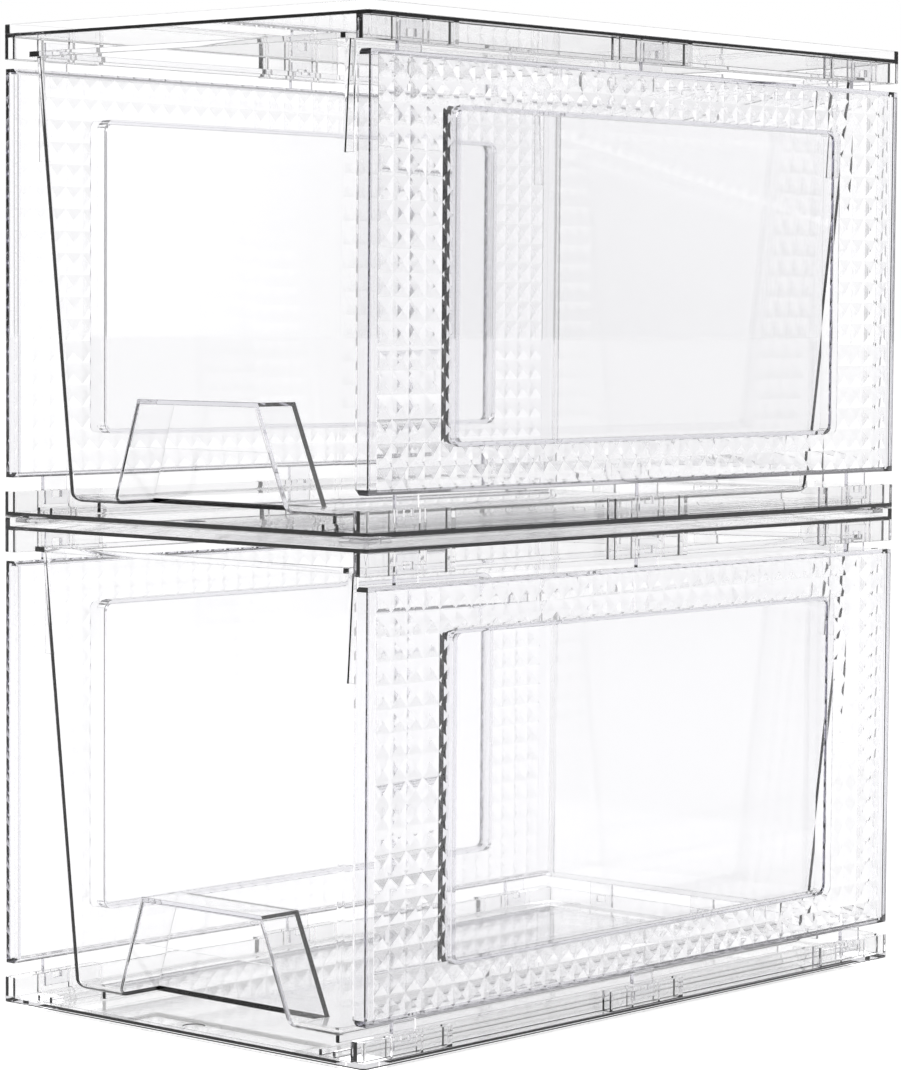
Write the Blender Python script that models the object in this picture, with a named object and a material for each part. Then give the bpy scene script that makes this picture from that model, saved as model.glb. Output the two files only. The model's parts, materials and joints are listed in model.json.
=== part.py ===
"""Two clear plastic shoe boxes, one standing on the other.

Each box is a case of five moulded pieces that snap together (base tray, lid, two side
panels and a back panel) with a tapered drawer that slides out of its open front.
The front faces -Y, and the lower box's feet stand on z = 0.
"""

import math

import bmesh
import bpy
from mathutils import Matrix, Vector

# Driving dimensions of one box, in metres.
WIDTH = 0.203
DEPTH = 0.340
PITCH = 0.200  # height from one box's feet to the feet of the box on top of it
WALL = 0.002
CORNER = 0.0015
INNER_CORNER = 0.0009  # rounding inside a rim or a ridge
GAP = 0.0003  # clearance between pieces that rest on each other

# Base tray.
FOOT_HEIGHT = 0.0024
FOOT_INSET = 0.0035
FOOT_LINE_HEIGHT = 0.0018
FOOT_LINE_WALL = 0.0018
FOOT_PAD = 0.014
BASE_SKIRT = 0.0083
RAIL_HEIGHT = 0.0023
RAIL_THICKNESS = 0.0015
RAIL_X = (0.0761, 0.0833)
RAIL_SETBACK = 0.003
GATE_MARK_Y = 0.010  # from the front
GATE_MARK_RADIUS = 0.0045
GATE_MARK_DEPTH = 0.0003

# Lid.
RIM_HEIGHT = 0.0037
RIM_WALL = 0.0022
LID_PLATE = 0.0014
LID_SKIRT = 0.0091

# Side skirts: a long wall with pocket blocks outside it, placed by their distance from the front.
SKIRT_INSET = 0.0045
SKIRT_WALL = 0.0024
BLOCK_SKIN = 0.0017
BLOCKS = ((0.0, 0.050), (0.1465, 0.1935), (0.290, 0.340))
TAB_PLACES = (0.025, 0.170, 0.315)
TAB_CELL = 0.016
POCKET_RIB = 0.0012

# Side panels.
PANEL_LOW = 0.0184
PANEL_HIGH = 0.1842
PANEL_SETBACK = 0.0011
PANEL_FACE = 0.0002  # how far the embossing's tips stand behind the plate edges
SKIN = 0.0020
FLANGE = 0.007
FLANGE_CHAMFER = 0.0022
WINDOW_Y = (0.0515, 0.2925)  # from the front
WINDOW_Z = (0.0372, 0.1640)
WINDOW_CORNER = 0.003
WELL_WALL = 0.0018
PANE = 0.0016  # the window's floor, level with the flanges' inner edges

# Snap tabs.
TAB_WIDTH = 0.013
TAB_THICKNESS = 0.0018
TAB_LENGTH = 0.0115
TAB_SLOT_WIDTH = 0.005
TAB_SLOT_Z = (0.0056, 0.0086)  # from the tab's root

# Back panel.
BACK_PLATE = 0.1646
BACK_REACH = 0.0052
BACK_SIDE_GAP = 0.0005
BACK_TABS_X = (-0.060, 0.0, 0.060)
BACK_TAB_THICKNESS = 0.0016

# Drawer, measured from the front of its own rim.
DRAWER_WALL = 0.0018
DRAWER_FLOOR_Z = 0.0089
DRAWER_TOP_Z = 0.1907
DRAWER_RIM_HEIGHT = 0.0022
DRAWER_RIM_HALF_X = 0.0882
DRAWER_RIM_LENGTH = 0.3288
DRAWER_TOP_HALF_X = 0.0855
DRAWER_FLOOR_HALF_X = 0.075
DRAWER_TOP_Y = (0.0015, 0.3263)
DRAWER_FLOOR_Y = (0.0108, 0.3108)
DRAWER_CORNER = 0.0022
DRAWER_INNER_CORNER = 0.0014
DRAWER_RIM_CORNER = 0.002
DRAWER_BOTTOM_ROUND = 0.004
DRAWER_INNER_ROUND = 0.002
DRAWER_RIB_TIP = 0.0875
DRAWER_RIB_Y = (0.0062, 0.3122)
DRAWER_RIB_THICKNESS = 0.0012
DRAWER_RIB_LENGTH = 0.042
SKID_X = 0.066
SKID_WIDTH = 0.002
SKID_Y = (0.019, 0.302)
CLOSED_FRONT_Y = -0.1660
UPPER_AJAR = 0.003  # the upper drawer stands this much further out

# Finger pull.
PULL_TOP_Z = 0.0498
PULL_TOP_HALF = 0.0326
PULL_BOTTOM_HALF = 0.048
PULL_LIP_Z = 0.0324
PULL_DEPTH = 0.021
PULL_FLAP_SETBACK = 0.0007
PULL_SIDE_WALL = 0.0017  # measured along x

# Heights worked out from the driving dimensions.
BASE_TOP = FOOT_HEIGHT + WALL
LID_TOP = PITCH + FOOT_HEIGHT - GAP - RIM_HEIGHT
LID_UNDER = LID_TOP - LID_PLATE
HALF_X = WIDTH / 2
FRONT = -DEPTH / 2
BACK = DEPTH / 2
PANEL_X = HALF_X - PANEL_FACE

PASS = 0.02  # how far a cutter runs past the face it cuts
CORNER_STEPS = 4
GATE_MARK_SIDES = 24
CLEAR = (0.92, 0.92, 0.96, 1.0)


def clear_scene():
    for leftover in list(bpy.data.objects):
        bpy.data.objects.remove(leftover)


def clear_plastic(name):
    """A water-clear plastic with a faint lavender-grey tint."""
    material = bpy.data.materials.new(name)
    material.use_nodes = True
    shader = material.node_tree.nodes["Principled BSDF"]
    shader.inputs["Base Color"].default_value = CLEAR
    shader.inputs["Roughness"].default_value = 0.03
    shader.inputs["Metallic"].default_value = 0.0
    shader.inputs["IOR"].default_value = 1.49
    shader.inputs["Transmission Weight"].default_value = 1.0
    return material


def solid(mesh_builder):
    """An unnamed object made from a finished bmesh, with its faces pointing out."""
    bmesh.ops.recalc_face_normals(mesh_builder, faces=mesh_builder.faces)
    mesh = bpy.data.meshes.new("shape")
    mesh_builder.to_mesh(mesh)
    mesh_builder.free()
    shape = bpy.data.objects.new("shape", mesh)
    bpy.context.scene.collection.objects.link(shape)
    return shape


def slab(x_range, y_range, z_range):
    """A box between two values on each axis."""
    low = Vector(map(min, (x_range, y_range, z_range)))
    high = Vector(map(max, (x_range, y_range, z_range)))
    builder = bmesh.new()
    place = Matrix.Translation((low + high) / 2) @ Matrix.Diagonal((*(high - low), 1.0))
    bmesh.ops.create_cube(builder, size=1.0, matrix=place)
    return solid(builder)


def loft(rings):
    """A closed solid through rings that all have the same number of points."""
    builder = bmesh.new()
    levels = [[builder.verts.new(point) for point in ring] for ring in rings]
    count = len(levels[0])
    for lower, upper in zip(levels, levels[1:]):
        for i in range(count):
            j = (i + 1) % count
            builder.faces.new((lower[i], lower[j], upper[j], upper[i]))
    builder.faces.new(list(reversed(levels[0])))
    builder.faces.new(levels[-1])
    return solid(builder)


def rounded_ring(x_range, y_range, radius, z):
    """The points of a rectangle with rounded corners at height z."""
    corners = (
        (x_range[1] - radius, y_range[1] - radius, 0.0),
        (x_range[0] + radius, y_range[1] - radius, 0.5 * math.pi),
        (x_range[0] + radius, y_range[0] + radius, math.pi),
        (x_range[1] - radius, y_range[0] + radius, 1.5 * math.pi),
    )
    points = []
    for x, y, start in corners:
        for step in range(CORNER_STEPS + 1):
            angle = start + 0.5 * math.pi * step / CORNER_STEPS
            points.append((x + radius * math.cos(angle), y + radius * math.sin(angle), z))
    return points


def rounded_slab(inset, radius, z_range):
    """A slab over the box's footprint, inset all round, with rounded vertical corners."""
    x_range = (inset - HALF_X, HALF_X - inset)
    y_range = (FRONT + inset, BACK - inset)
    return loft([rounded_ring(x_range, y_range, radius, z) for z in z_range])


def combine(body, tools, operation):
    """Joins the tools to the body, cuts them from it or keeps what they share, then drops them."""
    group = bpy.data.collections.new("tools")
    bpy.context.scene.collection.children.link(group)
    for tool in tools:
        group.objects.link(tool)
    boolean = body.modifiers.new(operation, "BOOLEAN")
    boolean.operation = operation
    boolean.solver = "EXACT"
    boolean.operand_type = "COLLECTION"
    boolean.collection = group
    graph = bpy.context.evaluated_depsgraph_get()
    result = bpy.data.meshes.new_from_object(body.evaluated_get(graph))
    body.modifiers.clear()
    body.data = result
    for tool in tools:
        bpy.data.objects.remove(tool)
    bpy.data.collections.remove(group)
    return body


def join(body, tools):
    return combine(body, tools, "UNION")


def cut(body, tools):
    return combine(body, tools, "DIFFERENCE")


def keep_inside(body, tool):
    return combine(body, [tool], "INTERSECT")


def tidy(shape):
    """Merges coplanar faces and doubled points that the Booleans leave."""
    builder = bmesh.new()
    builder.from_mesh(shape.data)
    bmesh.ops.remove_doubles(builder, verts=builder.verts, dist=1e-6)
    bmesh.ops.dissolve_limit(
        builder, angle_limit=math.radians(0.2), verts=builder.verts, edges=builder.edges
    )
    bmesh.ops.triangulate(builder, faces=builder.faces)
    builder.to_mesh(shape.data)
    builder.free()
    return shape


def side_skirts(plate_mid, tip):
    """The long inner walls and the blocks that stand out from them on both sides."""
    pieces = []
    for side in (-1, 1):
        inner = side * (HALF_X - SKIRT_INSET - SKIRT_WALL)
        pieces.append(slab((inner, inner + side * SKIRT_WALL), (FRONT, BACK), (plate_mid, tip)))
        for start, end in BLOCKS:
            reach = (FRONT + start, FRONT + end)
            pieces.append(slab((inner, side * HALF_X), reach, (plate_mid, tip)))
    return pieces


def skirt_pockets(floor, mouth):
    """The cells inside each block: one for the snap tab and one on either side of it."""
    cutters = []
    for side in (-1, 1):
        x_range = (side * (HALF_X - SKIRT_INSET), side * (HALF_X - BLOCK_SKIN))
        for (start, end), centre in zip(BLOCKS, TAB_PLACES):
            edges = (
                (start + WALL, centre - TAB_CELL / 2 - POCKET_RIB),
                (centre - TAB_CELL / 2, centre + TAB_CELL / 2),
                (centre + TAB_CELL / 2 + POCKET_RIB, end - WALL),
            )
            for low, high in edges:
                cutters.append(slab(x_range, (FRONT + low, FRONT + high), (floor, mouth)))
    return cutters


def back_skirt(plate_mid, tip):
    reach = HALF_X - SKIRT_INSET
    return slab((-reach, reach), (BACK - WALL, BACK), (plate_mid, tip))


def gate_mark():
    """The shallow round mark that the moulding gate leaves on the floor, near the front."""
    centre = Vector((0.0, FRONT + GATE_MARK_Y, BASE_TOP))
    builder = bmesh.new()
    bmesh.ops.create_cone(
        builder,
        cap_ends=True,
        segments=GATE_MARK_SIDES,
        radius1=GATE_MARK_RADIUS,
        radius2=GATE_MARK_RADIUS,
        depth=2 * GATE_MARK_DEPTH,
        matrix=Matrix.Translation(centre),
    )
    return solid(builder)


def foot_line():
    """The low ridge under the plate that locates a box inside the rim of the lid below."""
    z_range = (FOOT_HEIGHT - FOOT_LINE_HEIGHT, FOOT_HEIGHT + WALL / 2)
    outer = rounded_slab(FOOT_INSET, CORNER, z_range)
    inner = rounded_slab(FOOT_INSET + FOOT_LINE_WALL, INNER_CORNER, (-PASS, PASS))
    return cut(outer, [inner])


def foot_pads():
    """A foot in each corner, as deep as the box stands."""
    pads = []
    outer_x = HALF_X - FOOT_INSET
    outer_y = BACK - FOOT_INSET
    for x in (-1, 1):
        for y in (-1, 1):
            x_range = sorted((x * (outer_x - FOOT_PAD), x * outer_x))
            y_range = sorted((y * (outer_y - FOOT_PAD), y * outer_y))
            z_range = (0.0, FOOT_HEIGHT + WALL / 2)
            pads.append(loft([rounded_ring(x_range, y_range, CORNER, z) for z in z_range]))
    return pads


def runner_rails():
    """Two low rails on each side of the floor, which guide the drawer."""
    rails = []
    for side in (-1, 1):
        for centre in RAIL_X:
            middle = side * centre
            x_range = (middle - RAIL_THICKNESS / 2, middle + RAIL_THICKNESS / 2)
            y_range = (FRONT + RAIL_SETBACK, BACK - WALL / 2)
            rails.append(slab(x_range, y_range, (BASE_TOP - WALL / 2, BASE_TOP + RAIL_HEIGHT)))
    return rails


def base_tray():
    plate = rounded_slab(0.0, CORNER, (FOOT_HEIGHT, BASE_TOP))
    tip = BASE_TOP + BASE_SKIRT
    plate_mid = FOOT_HEIGHT + WALL / 2
    pieces = side_skirts(plate_mid, tip) + [back_skirt(plate_mid, tip)]
    tray = join(plate, pieces + runner_rails())
    tray = cut(tray, skirt_pockets(BASE_TOP, tip + PASS) + [gate_mark()])
    tray = keep_inside(tray, rounded_slab(0.0, CORNER, (-PASS, tip + PASS)))
    return join(tray, [foot_line()] + foot_pads())


def stacking_rim():
    z_range = (LID_UNDER + LID_PLATE / 2, LID_TOP + RIM_HEIGHT)
    outer = rounded_slab(0.0, CORNER, z_range)
    inner = rounded_slab(RIM_WALL, INNER_CORNER, (LID_TOP, LID_TOP + PASS))
    return cut(outer, [inner])


def lid():
    plate = rounded_slab(0.0, CORNER, (LID_UNDER, LID_TOP))
    tip = LID_UNDER - LID_SKIRT
    plate_mid = LID_UNDER + LID_PLATE / 2
    top = join(plate, side_skirts(plate_mid, tip) + [back_skirt(plate_mid, tip)])
    top = cut(top, skirt_pockets(tip - PASS, LID_UNDER))
    top = keep_inside(top, rounded_slab(0.0, CORNER, (tip - PASS, LID_TOP + PASS)))
    return join(top, [stacking_rim()])


def around(middle, width):
    return (middle - width / 2, middle + width / 2)


def snap_tab(middle, size, slot, root, direction):
    """A tab that stands up (1) or down (-1) from root, with a slot through it.

    middle, size and slot are pairs of values along x and y.
    """
    x_range, y_range = map(around, middle, size)
    tab = slab(x_range, y_range, (root - direction * WALL / 2, root + direction * TAB_LENGTH))
    x_range, y_range = map(around, middle, slot)
    hole = slab(x_range, y_range, [root + direction * z for z in TAB_SLOT_Z])
    return cut(tab, [hole])


def window_prism(x_range, grow):
    """The window's rounded outline, grown by a margin and drawn out along x."""
    y_range = (FRONT + WINDOW_Y[0] - grow, FRONT + WINDOW_Y[1] + grow)
    z_range = (WINDOW_Z[0] - grow, WINDOW_Z[1] + grow)
    outline = rounded_ring(y_range, z_range, WINDOW_CORNER + grow, 0.0)
    return loft([[(x, y, z) for y, z, _ in outline] for x in x_range])


def flange_chamfers(inner_x, y_range, z_range):
    """Wedges that take the sharp inner corners off the front and rear flanges."""
    wedges = []
    reach = FLANGE_CHAMFER
    for z, up in ((z_range[0], 1), (z_range[1], -1)):
        outline = (
            (inner_x - reach, z - up * reach),
            (inner_x + 2 * reach, z - up * reach),
            (inner_x - reach, z + up * 2 * reach),
        )
        rings = [[(x, y, height) for x, height in outline] for y in (y_range[0] - PASS, y_range[1] + PASS)]
        wedges.append(loft(rings))
    return wedges


def side_panel():
    """The right-hand panel. The left-hand one is its mirror image."""
    y_range = (FRONT + PANEL_SETBACK, BACK - PANEL_SETBACK)
    z_range = (PANEL_LOW, PANEL_HIGH)
    inner_x = PANEL_X - FLANGE
    panel = slab((inner_x, PANEL_X), y_range, z_range)
    hollow_y = (y_range[0] + WALL, y_range[1] - WALL)
    hollow_z = (z_range[0] + WALL, z_range[1] - WALL)
    hollow = slab((inner_x - PASS, PANEL_X - SKIN), hollow_y, hollow_z)
    panel = cut(panel, [hollow] + flange_chamfers(inner_x, y_range, z_range))
    panel = join(panel, [window_prism((inner_x, PANEL_X - SKIN / 2), WELL_WALL)])
    panel = cut(panel, [window_prism((inner_x + PANE, PANEL_X + PASS), 0.0)])
    tab_x = HALF_X - (SKIRT_INSET + BLOCK_SKIN) / 2
    size = (TAB_THICKNESS, TAB_WIDTH)
    slot = (PASS, TAB_SLOT_WIDTH)
    tabs = []
    for place in TAB_PLACES:
        for root, direction in ((PANEL_LOW, -1), (PANEL_HIGH, 1)):
            tabs.append(snap_tab((tab_x, FRONT + place), size, slot, root, direction))
    return join(panel, tabs)


def mirrored(shape):
    """The mirror image of a finished shape across the box's middle plane."""
    shape.data.transform(Matrix.Scale(-1.0, 4, Vector((1.0, 0.0, 0.0))))
    shape.data.flip_normals()
    return shape


def back_panel():
    half = PANEL_X - FLANGE - BACK_SIDE_GAP
    z_range = (PANEL_LOW, PANEL_HIGH)
    panel = slab((-half, half), (BACK_PLATE, BACK_PLATE + BACK_REACH), z_range)
    tray = slab(
        (-half + WALL, half - WALL),
        (BACK_PLATE + WALL, BACK + PASS),
        (z_range[0] + WALL, z_range[1] - WALL),
    )
    panel = cut(panel, [tray])
    tab_y = BACK_PLATE + WALL / 2
    size = (TAB_WIDTH, BACK_TAB_THICKNESS)
    slot = (TAB_SLOT_WIDTH, PASS)
    tabs = []
    for place in BACK_TABS_X:
        for root, direction in ((PANEL_LOW, -1), (PANEL_HIGH, 1)):
            tabs.append(snap_tab((place, tab_y), size, slot, root, direction))
    return join(panel, tabs)


def wall_rise(z):
    """How far up the drawer's leaning walls a height is, from 0 at the floor to 1 at the top."""
    return (z - DRAWER_FLOOR_Z) / (DRAWER_TOP_Z - DRAWER_FLOOR_Z)


def between(start, end, share):
    return start + share * (end - start)


def drawer_front(z):
    """Where the drawer's front wall stands at height z."""
    return between(DRAWER_FLOOR_Y[0], DRAWER_TOP_Y[0], wall_rise(z))


def drawer_section(z, inset, corner):
    """The drawer's outer outline at height z, moved in by inset all round."""
    half = between(DRAWER_FLOOR_HALF_X, DRAWER_TOP_HALF_X, wall_rise(z)) - inset
    back = between(DRAWER_FLOOR_Y[1], DRAWER_TOP_Y[1], wall_rise(z)) - inset
    return rounded_ring((-half, half), (drawer_front(z) + inset, back), corner, z)


def drawer_hull(inset, floor, top, bottom_round, corner):
    """A tapered bin shape with rounded bottom edges."""
    rings = []
    for step in range(CORNER_STEPS):
        angle = 0.5 * math.pi * step / CORNER_STEPS
        rise = bottom_round * (1 - math.cos(angle))
        rings.append(drawer_section(floor + rise, inset + bottom_round * (1 - math.sin(angle)), corner))
    rings.append(drawer_section(floor + bottom_round, inset, corner))
    rings.append(drawer_section(top, inset, corner))
    return loft(rings)


def drawer_outside():
    return drawer_hull(0.0, DRAWER_FLOOR_Z, DRAWER_TOP_Z, DRAWER_BOTTOM_ROUND, DRAWER_CORNER)


def drawer_inside():
    floor = DRAWER_FLOOR_Z + WALL
    return drawer_hull(DRAWER_WALL, floor, DRAWER_TOP_Z + PASS, DRAWER_INNER_ROUND, DRAWER_INNER_CORNER)


def pull_prism(low, high, grow, y_front, y_back):
    """A trapezoid prism behind the front wall; y_front and y_back are set back from that wall."""
    slope = (PULL_BOTTOM_HALF - PULL_TOP_HALF) / (PULL_TOP_Z - DRAWER_FLOOR_Z)
    rings = []
    for setback in (y_front, y_back):
        ring = []
        for z, side in ((low, -1), (low, 1), (high, 1), (high, -1)):
            half = PULL_TOP_HALF + slope * (PULL_TOP_Z - z) + grow
            ring.append((side * half, drawer_front(z) + setback, z))
        rings.append(ring)
    return loft(rings)


def pull_housing():
    """The walls of the finger pull, trimmed to the drawer's outside."""
    low = DRAWER_FLOOR_Z + DRAWER_WALL / 2
    high = PULL_TOP_Z + DRAWER_WALL
    housing = pull_prism(low, high, PULL_SIDE_WALL, DRAWER_WALL / 2, PULL_DEPTH + DRAWER_WALL)
    return keep_inside(housing, drawer_outside())


def drawer_ribs():
    """Upright ribs under the rim, near each end of both side walls."""
    ribs = []
    top = DRAWER_TOP_Z - DRAWER_RIM_HEIGHT / 2
    low = DRAWER_TOP_Z - DRAWER_RIM_HEIGHT - DRAWER_RIB_LENGTH
    root = DRAWER_FLOOR_HALF_X
    for side in (-1, 1):
        for y in DRAWER_RIB_Y:
            y_range = (y - DRAWER_RIB_THICKNESS / 2, y + DRAWER_RIB_THICKNESS / 2)
            ribs.append(slab((side * root, side * DRAWER_RIB_TIP), y_range, (low, top)))
    return ribs


def skids():
    """Two runners under the floor, which the drawer slides on."""
    z_range = (BASE_TOP + GAP, DRAWER_FLOOR_Z + DRAWER_WALL / 2)
    return [
        slab((side * SKID_X - SKID_WIDTH / 2, side * SKID_X + SKID_WIDTH / 2), SKID_Y, z_range)
        for side in (-1, 1)
    ]


def drawer():
    """The drawer, with the front of its rim at y = 0."""
    rim_x = (-DRAWER_RIM_HALF_X, DRAWER_RIM_HALF_X)
    rim_z = (DRAWER_TOP_Z - DRAWER_RIM_HEIGHT, DRAWER_TOP_Z)
    rim = loft([rounded_ring(rim_x, (0.0, DRAWER_RIM_LENGTH), DRAWER_RIM_CORNER, z) for z in rim_z])
    bin_shape = join(drawer_outside(), [rim] + drawer_ribs())
    bin_shape = cut(bin_shape, [drawer_inside()])
    bin_shape = join(bin_shape, [pull_housing()] + skids())
    below = DRAWER_FLOOR_Z - PASS / 2
    mouth = pull_prism(below, PULL_LIP_Z, 0.0, -PASS, PULL_DEPTH)
    flap_face = pull_prism(below, PULL_TOP_Z, 0.0, -PASS, PULL_FLAP_SETBACK)
    recess = pull_prism(below, PULL_TOP_Z, 0.0, DRAWER_WALL, PULL_DEPTH)
    return cut(bin_shape, [mouth, flap_face, recess])


def place(shape, name, parent, location=(0.0, 0.0, 0.0)):
    """Names a finished shape, gives it its plastic and stands it in its box."""
    node = bpy.data.objects.new(name, shape.data)
    bpy.context.scene.collection.objects.link(node)
    node.parent = parent
    node.location = location
    if not node.data.materials:
        node.data.materials.append(clear_plastic("clear_" + shape.name))
    return node


def shapes():
    """One of each moulding; both boxes share them."""
    builders = {
        "base_tray": base_tray,
        "lid": lid,
        "right_side_panel": side_panel,
        "left_side_panel": lambda: mirrored(side_panel()),
        "back_panel": back_panel,
        "drawer": drawer,
    }
    made = {}
    for name, build in builders.items():
        made[name] = tidy(build())
        made[name].name = name
    return made


def main():
    clear_scene()
    mouldings = shapes()
    for box, height, ajar in (("lower", 0.0, 0.0), ("upper", PITCH, UPPER_AJAR)):
        case = bpy.data.objects.new(box + "_box", None)
        bpy.context.scene.collection.objects.link(case)
        case.location = (0.0, 0.0, height)
        for name, shape in mouldings.items():
            location = (0.0, 0.0, 0.0)
            if name == "drawer":
                location = (0.0, CLOSED_FRONT_Y - ajar, 0.0)
            place(shape, box + "_" + name, case, location)
    for shape in mouldings.values():
        bpy.data.objects.remove(shape)


main()
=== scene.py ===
"""The looks of two stacked clear plastic shoe boxes with slide-out drawers.

Every piece is a water-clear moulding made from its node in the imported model: its edges get
small mould radii, and the side panels get their pyramid embossing.
"""

import json
import math

import bmesh
import bpy
from mathutils import Matrix, Vector

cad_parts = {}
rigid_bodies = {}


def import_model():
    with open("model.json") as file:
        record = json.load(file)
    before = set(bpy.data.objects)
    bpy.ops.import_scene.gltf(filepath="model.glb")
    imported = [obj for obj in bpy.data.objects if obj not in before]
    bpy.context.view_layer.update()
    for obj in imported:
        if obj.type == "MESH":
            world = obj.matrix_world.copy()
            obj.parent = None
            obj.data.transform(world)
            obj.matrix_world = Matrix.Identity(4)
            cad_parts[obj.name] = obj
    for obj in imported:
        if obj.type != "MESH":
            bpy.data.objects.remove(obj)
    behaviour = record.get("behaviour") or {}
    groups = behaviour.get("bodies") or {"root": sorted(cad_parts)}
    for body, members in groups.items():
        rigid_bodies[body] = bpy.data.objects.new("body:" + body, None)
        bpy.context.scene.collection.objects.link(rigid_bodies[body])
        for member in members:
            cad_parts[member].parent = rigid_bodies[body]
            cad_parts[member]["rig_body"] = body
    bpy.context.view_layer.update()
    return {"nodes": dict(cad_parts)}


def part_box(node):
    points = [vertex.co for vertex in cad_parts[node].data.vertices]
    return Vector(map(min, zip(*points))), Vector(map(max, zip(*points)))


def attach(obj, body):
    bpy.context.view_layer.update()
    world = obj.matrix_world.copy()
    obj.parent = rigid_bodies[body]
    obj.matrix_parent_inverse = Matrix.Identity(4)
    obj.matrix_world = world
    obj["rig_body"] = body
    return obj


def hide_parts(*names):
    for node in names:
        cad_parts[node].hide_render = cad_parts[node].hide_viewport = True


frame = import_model()

# Camera, in metres and degrees.
CAMERA_PLACE = Vector((1.0353, -1.1701, 0.2867))
CAMERA_YAW = math.radians(-41.73)
CAMERA_PITCH = math.radians(-3.53)
CAMERA_ROLL = math.radians(0.39)
CAMERA_LENS = 122.77
CAMERA_SENSOR = 36.0
CAMERA_CLIP = (0.05, 50.0)

# The studio around the boxes, brightest behind them. Brightness by height, from the ground (-1) to the
# zenith (1), and by direction, from straight in front of the camera (1) round to behind it (-1).
SKY_BY_HEIGHT = (
    (-1.0, 0.5),
    (-0.30, 0.9),
    (-0.05, 1.0),
    (0.14, 1.0),
    (0.34, 0.5),
    (0.55, 0.2),
    (1.0, 0.1),
)
SKY_BY_HEADING = ((-1.0, 0.42), (-0.3, 0.38), (0.2, 0.50), (0.6, 1.0), (1.0, 1.0))
SKY_PATCH_SCALE = 5.0
SKY_PATCH_RANGE = (0.35, 0.65)
SKY_STRENGTH = (1.13, 1.25)

# Softboxes: name, place, size and power in watts. All aim at the middle of the boxes.
SOFTBOXES = (
    ("left_softbox", (-1.4, -1.2, 1.5), (1.2, 1.2), 8),
    ("back_softbox", (0.9, 1.6, 1.4), (1.4, 1.0), 3),
)
SOFTBOX_AIM = Vector((0.0, 0.0, 0.2))

# The floor glows a little, so that it stays as white as the backdrop.
FLOOR_RADIUS = 40.0
FLOOR_SIDES = 96
FLOOR_WHITE = (0.95, 0.95, 0.95, 1.0)
FLOOR_ROUGHNESS = 0.9
FLOOR_GLOW = 0.88

# Edges of the mouldings.
EDGE_RADIUS = 0.0003
EDGE_STEPS = 2
FLAT_ANGLE = math.radians(0.5)
SHARP_ANGLE = math.radians(28)
MERGE_DISTANCE = 1e-6
FACE_WEIGHT = 100

# The plastic's polish, which varies slightly over it.
REFRACTION = 1.49
POLISH_SCALE = 14.0
POLISH_DETAIL = 3.0
POLISH_ROUGHNESS = (0.0, 0.03)

# The plastics' own absorption, per metre: density times one minus the tint.
CASE_TINT = (0.850, 0.848, 0.858)
CLEAR_TINT = (0.850, 0.846, 0.874)
CASE_DENSITY = 140.0
PANEL_DENSITY = 185.0
DRAWER_DENSITY = 55.0

# Pyramid embossing on the side panels: a carpet of pyramids in a recess with a smooth border all
# round it and round the window. Places are measured from the panel's front and foot.
TAB_REACH = 0.0115  # how far the snap tabs stand out above and below the panel
EMBOSS_DEPTH = 0.0008
EMBOSS_COLUMNS = 36
EMBOSS_ROWS = 18
EMBOSS_BORDER_Y = 0.0045
EMBOSS_BORDER_Z = 0.0012
EMBOSS_ROOT = 0.0003  # how far the carpet's flat back is let into the skin
EMBOSS_LAP = 0.00005  # how far the carpet runs into the recess's walls
WINDOW_Y = (0.0504, 0.2914)
WINDOW_Z = (0.0188, 0.1456)
WINDOW_CORNER = 0.003
WINDOW_FRAME = (0.0045, 0.0012)  # beside the window, and above and below it
CORNER_STEPS = 6
PASS = 0.02  # how far a cutter runs past the surface it cuts

# Light paths: light gets through many clear walls in a row.
CLEAR_BOUNCES = 32
GLOSSY_BOUNCES = 8
DIFFUSE_BOUNCES = 3
TRANSPARENT_BOUNCES = 16

UNITS = ("lower", "upper")


def look_matrix(place, yaw, pitch, roll):
    """A camera at place, turned yaw from +Y towards +X, then tilted up by pitch and rolled."""
    ahead = Vector((math.sin(yaw) * math.cos(pitch), math.cos(yaw) * math.cos(pitch), math.sin(pitch)))
    level = Vector((math.cos(yaw), -math.sin(yaw), 0.0))
    upright = level.cross(ahead)
    right = math.cos(roll) * level + math.sin(roll) * upright
    up = math.cos(roll) * upright - math.sin(roll) * level
    turn = Matrix((right, up, -ahead)).transposed().to_4x4()
    return Matrix.Translation(place) @ turn


def add_camera():
    lens = bpy.data.cameras.new("camera")
    lens.lens = CAMERA_LENS
    lens.sensor_width = CAMERA_SENSOR
    lens.clip_start, lens.clip_end = CAMERA_CLIP
    camera = bpy.data.objects.new("camera", lens)
    bpy.context.scene.collection.objects.link(camera)
    camera.matrix_world = look_matrix(CAMERA_PLACE, CAMERA_YAW, CAMERA_PITCH, CAMERA_ROLL)
    bpy.context.scene.camera = camera


def remapped(nodes, links, value, source, target):
    """A value moved from one range to another."""
    shift = nodes.new("ShaderNodeMapRange")
    for name, number in zip(("From Min", "From Max", "To Min", "To Max"), (*source, *target)):
        shift.inputs[name].default_value = number
    links.new(value, shift.inputs["Value"])
    return shift.outputs["Result"]


def ramp_between(nodes, links, value, stops):
    """A smooth grey ramp over a value from -1 to 1."""
    ramp = nodes.new("ShaderNodeValToRGB")
    ramp.color_ramp.interpolation = "EASE"
    elements = ramp.color_ramp.elements
    while len(elements) < len(stops):
        elements.new(0.5)
    for element, (place, grey) in zip(elements, stops):
        element.position = (place + 1.0) / 2.0
        element.color = (grey, grey, grey, 1.0)
    links.new(remapped(nodes, links, value, (-1.0, 1.0), (0.0, 1.0)), ramp.inputs["Fac"])
    return ramp.outputs["Color"]


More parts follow.
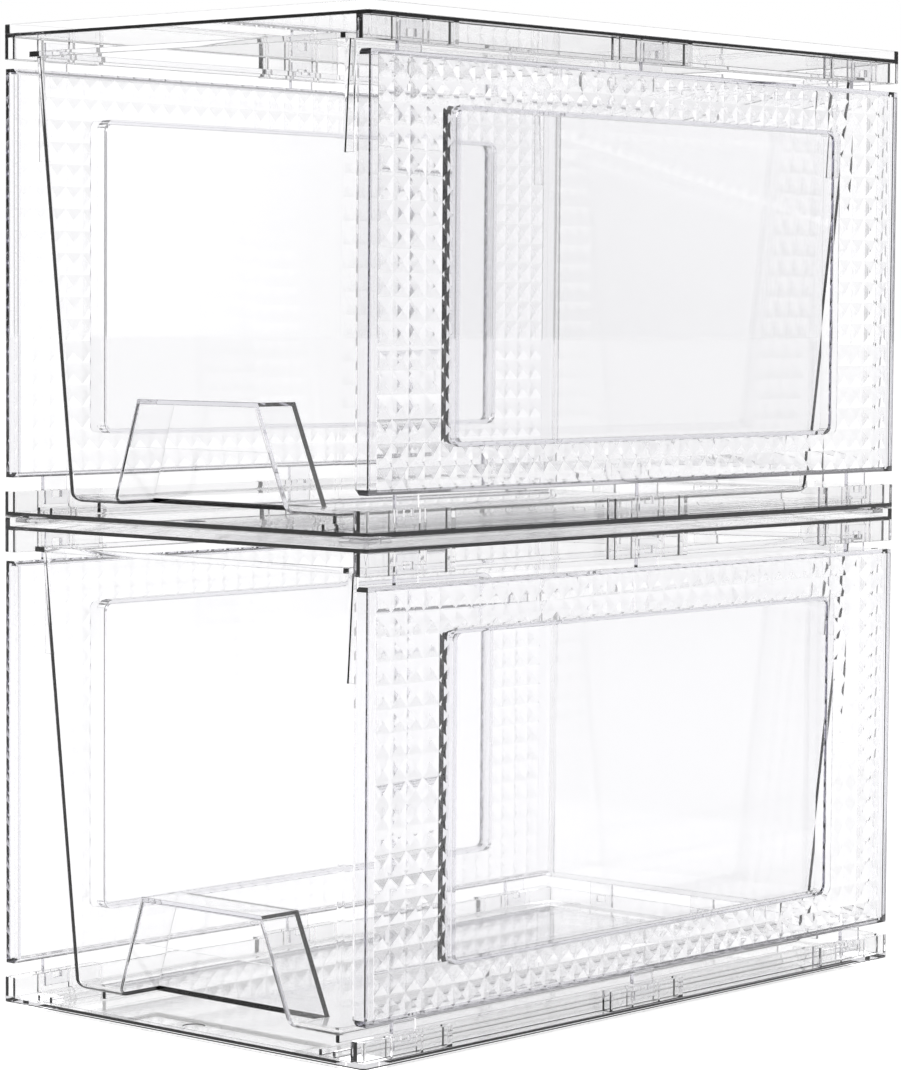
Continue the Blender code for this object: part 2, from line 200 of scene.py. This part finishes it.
def add_world():
    """A white studio, darker upwards and towards the camera's side than behind the boxes."""
    world = bpy.data.worlds.new("studio")
    bpy.context.scene.world = world
    world.use_nodes = True
    nodes = world.node_tree.nodes
    links = world.node_tree.links
    background = nodes["Background"]
    place = nodes.new("ShaderNodeTexCoord")
    split = nodes.new("ShaderNodeSeparateXYZ")
    links.new(place.outputs["Generated"], split.inputs[0])
    by_height = ramp_between(nodes, links, split.outputs["Z"], SKY_BY_HEIGHT)
    heading = nodes.new("ShaderNodeVectorMath")
    heading.operation = "DOT_PRODUCT"
    heading.inputs[1].default_value = (math.sin(CAMERA_YAW), math.cos(CAMERA_YAW), 0.0)
    links.new(place.outputs["Generated"], heading.inputs[0])
    by_heading = ramp_between(nodes, links, heading.outputs["Value"], SKY_BY_HEADING)
    both = nodes.new("ShaderNodeMix")
    both.data_type = "RGBA"
    both.blend_type = "MULTIPLY"
    both.inputs["Factor"].default_value = 1.0
    links.new(by_height, both.inputs["A"])
    links.new(by_heading, both.inputs["B"])
    links.new(both.outputs["Result"], background.inputs["Color"])
    uneven = nodes.new("ShaderNodeTexNoise")
    uneven.inputs["Scale"].default_value = SKY_PATCH_SCALE
    uneven.inputs["Detail"].default_value = 0.0
    links.new(place.outputs["Generated"], uneven.inputs["Vector"])
    strength = remapped(nodes, links, uneven.outputs["Fac"], SKY_PATCH_RANGE, SKY_STRENGTH)
    links.new(strength, background.inputs["Strength"])
    plain = nodes.new("ShaderNodeBackground")
    plain.inputs["Color"].default_value = (1.0, 1.0, 1.0, 1.0)
    path = nodes.new("ShaderNodeLightPath")
    choose = nodes.new("ShaderNodeMixShader")
    links.new(path.outputs["Is Camera Ray"], choose.inputs["Fac"])
    links.new(background.outputs["Background"], choose.inputs[1])
    links.new(plain.outputs["Background"], choose.inputs[2])
    links.new(choose.outputs["Shader"], nodes["World Output"].inputs["Surface"])


def add_softbox(name, place, size, power):
    lamp = bpy.data.lights.new(name, "AREA")
    lamp.shape = "RECTANGLE"
    lamp.size, lamp.size_y = size
    lamp.energy = power
    light = bpy.data.objects.new(name, lamp)
    bpy.context.scene.collection.objects.link(light)
    light.location = place
    aim = (SOFTBOX_AIM - Vector(place)).to_track_quat("-Z", "Y")
    light.rotation_mode = "QUATERNION"
    light.rotation_quaternion = aim


def add_lights():
    for softbox in SOFTBOXES:
        add_softbox(*softbox)


def paint_floor():
    material = bpy.data.materials.new("floor_white")
    material.use_nodes = True
    shader = material.node_tree.nodes["Principled BSDF"]
    shader.inputs["Base Color"].default_value = FLOOR_WHITE
    shader.inputs["Roughness"].default_value = FLOOR_ROUGHNESS
    shader.inputs["Emission Color"].default_value = (1.0, 1.0, 1.0, 1.0)
    shader.inputs["Emission Strength"].default_value = FLOOR_GLOW
    return material


def add_floor():
    builder = bmesh.new()
    bmesh.ops.create_circle(builder, cap_ends=True, segments=FLOOR_SIDES, radius=FLOOR_RADIUS)
    mesh = bpy.data.meshes.new("floor")
    builder.to_mesh(mesh)
    builder.free()
    floor = bpy.data.objects.new("floor", mesh)
    bpy.context.scene.collection.objects.link(floor)
    mesh.materials.append(paint_floor())


def clear_plastic(name, tint, density):
    """Water-clear moulded plastic: a polished skin over a body that darkens along long paths."""
    material = bpy.data.materials.new(name)
    material.use_nodes = True
    nodes = material.node_tree.nodes
    links = material.node_tree.links
    shader = nodes["Principled BSDF"]
    shader.inputs["Base Color"].default_value = (1.0, 1.0, 1.0, 1.0)
    shader.inputs["IOR"].default_value = REFRACTION
    shader.inputs["Transmission Weight"].default_value = 1.0
    place = nodes.new("ShaderNodeTexCoord")
    flow = nodes.new("ShaderNodeTexNoise")
    flow.inputs["Scale"].default_value = POLISH_SCALE
    flow.inputs["Detail"].default_value = POLISH_DETAIL
    links.new(place.outputs["Object"], flow.inputs["Vector"])
    gloss = remapped(nodes, links, flow.outputs["Fac"], (0.0, 1.0), POLISH_ROUGHNESS)
    links.new(gloss, shader.inputs["Roughness"])
    depth = nodes.new("ShaderNodeVolumeAbsorption")
    depth.inputs["Color"].default_value = (*tint, 1.0)
    depth.inputs["Density"].default_value = density
    links.new(depth.outputs["Volume"], nodes["Material Output"].inputs["Volume"])
    return material


def object_from(builder, name):
    mesh = bpy.data.meshes.new(name)
    builder.to_mesh(mesh)
    builder.free()
    made = bpy.data.objects.new(name, mesh)
    bpy.context.scene.collection.objects.link(made)
    return made


def from_node(node, name):
    """A copy of a node's mesh with its flat faces whole again."""
    builder = bmesh.new()
    builder.from_mesh(frame["nodes"][node].data)
    bmesh.ops.remove_doubles(builder, verts=builder.verts, dist=MERGE_DISTANCE)
    bmesh.ops.dissolve_limit(builder, angle_limit=FLAT_ANGLE, verts=builder.verts, edges=builder.edges)
    return object_from(builder, name)


def slab(low, high):
    builder = bmesh.new()
    low, high = Vector(low), Vector(high)
    place = Matrix.Translation((low + high) / 2) @ Matrix.Diagonal((*(high - low), 1.0))
    bmesh.ops.create_cube(builder, size=1.0, matrix=place)
    return object_from(builder, "cutter")


def combine(body, tool, operation):
    boolean = body.modifiers.new(operation, "BOOLEAN")
    boolean.operation = operation
    boolean.solver = "EXACT"
    boolean.object = tool
    graph = bpy.context.evaluated_depsgraph_get()
    result = bpy.data.meshes.new_from_object(body.evaluated_get(graph))
    body.modifiers.clear()
    body.data = result
    bpy.data.objects.remove(tool)


def rounded_prism(xs, ys, zs, radius):
    """A block along x whose outline has rounded corners."""
    builder = bmesh.new()
    corners = (
        (ys[1] - radius, zs[1] - radius, 0.0),
        (ys[0] + radius, zs[1] - radius, 0.5 * math.pi),
        (ys[0] + radius, zs[0] + radius, math.pi),
        (ys[1] - radius, zs[0] + radius, 1.5 * math.pi),
    )
    outline = []
    for y, z, start in corners:
        for step in range(CORNER_STEPS + 1):
            angle = start + 0.5 * math.pi * step / CORNER_STEPS
            outline.append((y + radius * math.cos(angle), z + radius * math.sin(angle)))
    ends = [[builder.verts.new((x, y, z)) for y, z in outline] for x in xs]
    for end in ends:
        builder.faces.new(end)
    for i in range(len(outline)):
        j = (i + 1) % len(outline)
        builder.faces.new((ends[0][i], ends[0][j], ends[1][j], ends[1][i]))
    bmesh.ops.recalc_face_normals(builder, faces=builder.faces)
    return object_from(builder, "cutter")


def embossing(tip, valley, ys, zs):
    """A carpet of pyramids with a flat back let into the skin."""
    back = valley + math.copysign(EMBOSS_ROOT, valley - tip)
    step_y = (ys[1] - ys[0]) / EMBOSS_COLUMNS
    step_z = (zs[1] - zs[0]) / EMBOSS_ROWS
    builder = bmesh.new()
    front = [
        [
            builder.verts.new((valley, ys[0] + c * step_y, zs[0] + r * step_z))
            for r in range(EMBOSS_ROWS + 1)
        ]
        for c in range(EMBOSS_COLUMNS + 1)
    ]
    for c in range(EMBOSS_COLUMNS):
        for r in range(EMBOSS_ROWS):
            ring = (front[c][r], front[c + 1][r], front[c + 1][r + 1], front[c][r + 1])
            middle = (tip, ys[0] + (c + 0.5) * step_y, zs[0] + (r + 0.5) * step_z)
            apex = builder.verts.new(middle)
            for a, b in zip(ring, ring[1:] + ring[:1]):
                builder.faces.new((a, b, apex))
    outline = (
        [front[c][0] for c in range(EMBOSS_COLUMNS + 1)]
        + [front[-1][r] for r in range(1, EMBOSS_ROWS + 1)]
        + [front[c][-1] for c in range(EMBOSS_COLUMNS - 1, -1, -1)]
        + [front[0][r] for r in range(EMBOSS_ROWS - 1, 0, -1)]
    )
    backs = [builder.verts.new((back, v.co.y, v.co.z)) for v in outline]
    for i in range(len(outline)):
        j = (i + 1) % len(outline)
        builder.faces.new((outline[i], outline[j], backs[j], backs[i]))
    builder.faces.new(backs)
    bmesh.ops.recalc_face_normals(builder, faces=builder.faces)
    return object_from(builder, "embossing")


def grown(span, margin):
    return (span[0] - margin, span[1] + margin)


def embossed_panel(node, name, side):
    """A side panel with its embossing; side is 1 for the right-hand one and -1 for its mirror image."""
    low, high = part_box(node)
    foot, head = low.z + TAB_REACH, high.z - TAB_REACH
    tip = high.x if side > 0 else low.x
    valley = tip - side * EMBOSS_DEPTH
    deep = valley - side * PASS
    clear = tip + side * PASS
    ys = (low.y + EMBOSS_BORDER_Y, high.y - EMBOSS_BORDER_Y)
    zs = (foot + EMBOSS_BORDER_Z, head - EMBOSS_BORDER_Z)
    window_ys = grown([low.y + y for y in WINDOW_Y], WINDOW_FRAME[0])
    window_zs = grown([foot + z for z in WINDOW_Z], WINDOW_FRAME[1])
    panel = from_node(node, name)
    recess = slab((min(valley, clear), ys[0], zs[0]), (max(valley, clear), ys[1], zs[1]))
    combine(recess, rounded_prism((deep, clear), window_ys, window_zs, WINDOW_CORNER), "DIFFERENCE")
    combine(panel, recess, "DIFFERENCE")
    round_edges(panel)
    carpet = embossing(tip, valley, grown(ys, EMBOSS_LAP), grown(zs, EMBOSS_LAP))
    window_ys = grown(window_ys, -EMBOSS_LAP)
    window_zs = grown(window_zs, -EMBOSS_LAP)
    opening = rounded_prism((deep, clear), window_ys, window_zs, WINDOW_CORNER - EMBOSS_LAP)
    combine(carpet, opening, "DIFFERENCE")
    combine(panel, carpet, "UNION")
    return panel


def add_bevel(piece):
    bevel = piece.modifiers.new("edge_radius", "BEVEL")
    bevel.width = EDGE_RADIUS
    bevel.segments = EDGE_STEPS
    bevel.limit_method = "ANGLE"
    bevel.angle_limit = SHARP_ANGLE
    bevel.use_clamp_overlap = True


def round_edges(piece):
    """Gives a piece its mould radii for good, so that more can be joined to it."""
    add_bevel(piece)
    graph = bpy.context.evaluated_depsgraph_get()
    result = bpy.data.meshes.new_from_object(piece.evaluated_get(graph))
    piece.modifiers.clear()
    piece.data = result


def soften(piece):
    """Mould radii on the edges, with normals that keep the flat faces flat."""
    add_bevel(piece)
    for face in piece.data.polygons:
        face.use_smooth = True
    weights = piece.modifiers.new("face_weights", "WEIGHTED_NORMAL")
    weights.keep_sharp = True
    weights.weight = FACE_WEIGHT


def finish_piece(piece, node, material):
    piece.data.materials.clear()
    piece.data.materials.append(material)
    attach(piece, frame["nodes"][node]["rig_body"])
    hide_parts(node)


def add_pieces():
    case = clear_plastic("clear_case_plastic", CASE_TINT, CASE_DENSITY)
    embossed = clear_plastic("clear_embossed_plastic", CLEAR_TINT, PANEL_DENSITY)
    bin_plastic = clear_plastic("clear_drawer_plastic", CLEAR_TINT, DRAWER_DENSITY)
    for unit in UNITS:
        for part in ("base_tray", "lid", "back_panel"):
            node = unit + "_" + part
            piece = from_node(node, node + "_moulding")
            soften(piece)
            finish_piece(piece, node, case)
        for part, side in (("right_side_panel", 1), ("left_side_panel", -1)):
            node = unit + "_" + part
            piece = embossed_panel(node, node + "_moulding", side)
            finish_piece(piece, node, embossed)
        node = unit + "_drawer"
        piece = from_node(node, node + "_moulding")
        soften(piece)
        finish_piece(piece, node, bin_plastic)


def set_light_paths():
    """Plain colours, and enough bounces for a stack of clear walls."""
    scene = bpy.context.scene
    scene.view_settings.view_transform = "Standard"
    scene.cycles.max_bounces = CLEAR_BOUNCES
    scene.cycles.transmission_bounces = CLEAR_BOUNCES
    scene.cycles.glossy_bounces = GLOSSY_BOUNCES
    scene.cycles.diffuse_bounces = DIFFUSE_BOUNCES
    scene.cycles.transparent_max_bounces = TRANSPARENT_BOUNCES


add_camera()
add_world()
add_lights()
add_floor()
add_pieces()
set_light_paths()
